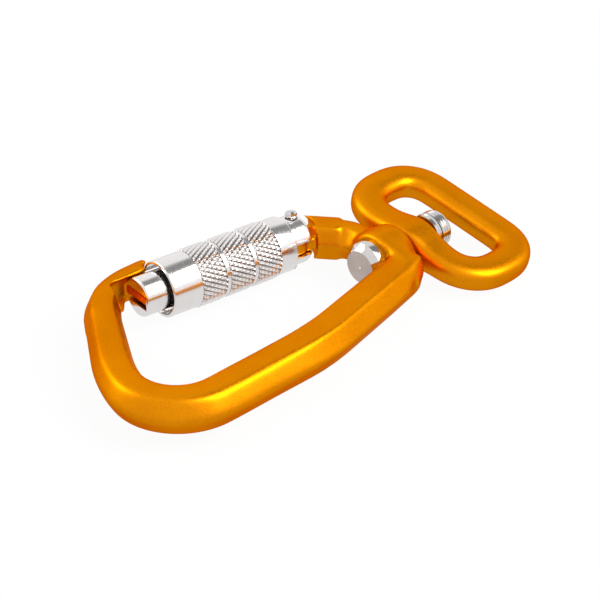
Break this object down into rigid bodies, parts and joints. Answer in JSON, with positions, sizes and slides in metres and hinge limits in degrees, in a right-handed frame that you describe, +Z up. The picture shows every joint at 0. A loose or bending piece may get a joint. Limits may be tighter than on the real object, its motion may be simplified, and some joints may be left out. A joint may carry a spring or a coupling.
{
  "type": "swivel hook",
  "caption": "Forged swivel hook with a spring-closed gate, a knurled twist-lock sleeve and a turning strap eye.",
  "frame": {"origin": "centre of the eye's opening, on the load line", "axes": "+X along the load line from the hook to the eye, +Y towards the gate side, +Z up out of the flat of the hook"},
  "size_m": [0.1237, 0.0602, 0.0162],
  "materials": {
    "orange_anodise": "satin orange anodised forging",
    "polished_alloy": "polished, knurled bands on the sleeve",
    "polished_steel": "bright turned steel",
    "spring_steel": "drawn spring wire",
    "bearing_bronze": "plain bearing bronze"
  },
  "bodies": {
    "hook": {"hook_body": "orange_anodise", "swivel_bush": "bearing_bronze"},
    "gate": {"gate": "polished_alloy", "hinge_rivet": "polished_steel", "sleeve_guide": "polished_steel", "gate_spring": "spring_steel", "sleeve_spring": "spring_steel"},
    "plunger": {"gate_plunger": "polished_steel"},
    "sleeve": {"locking_sleeve": "polished_alloy"},
    "eye": {"swivel_eye": "orange_anodise", "swivel_pin": "polished_steel", "head_washer": "polished_steel", "thrust_washer": "polished_steel", "flat_washer": "polished_steel", "ridge_washer": "polished_steel", "rivet_collar": "polished_steel"}
  },
  "joints": [
    {"name": "gate_open", "type": "hinge", "parent": "hook", "child": "gate", "pos_m": [-0.0311, 0.0212, 0], "axis": [0, 0, 1], "range_deg": [0, 25], "stiffness_Nm_per_rad": 0.4, "springref_deg": -17.19},
    {"name": "plunger_slide", "type": "slide", "parent": "gate", "child": "plunger", "axis": [-0.9919, 0.1271, 0], "range_m": [0, 0.0007], "deforming": ["gate_spring"]},
    {"name": "sleeve_twist", "type": "hinge", "parent": "gate", "child": "sleeve", "pos_m": [-0.0311, 0.0212, 0], "axis": [0.9919, -0.1271, 0], "range_deg": [0, 80], "stiffness_Nm_per_rad": 0.03, "springref_deg": -17.19, "deforming": ["sleeve_spring"]},
    {"name": "eye_swivel", "type": "hinge", "parent": "hook", "child": "eye", "pos_m": [-0.0155, 0, 0], "axis": [1, 0, 0], "continuous": true}
  ],
  "couplings": [
    {"joint": "plunger_slide", "follows": "gate_open", "m_per_rad": 0.00145}
  ]
}
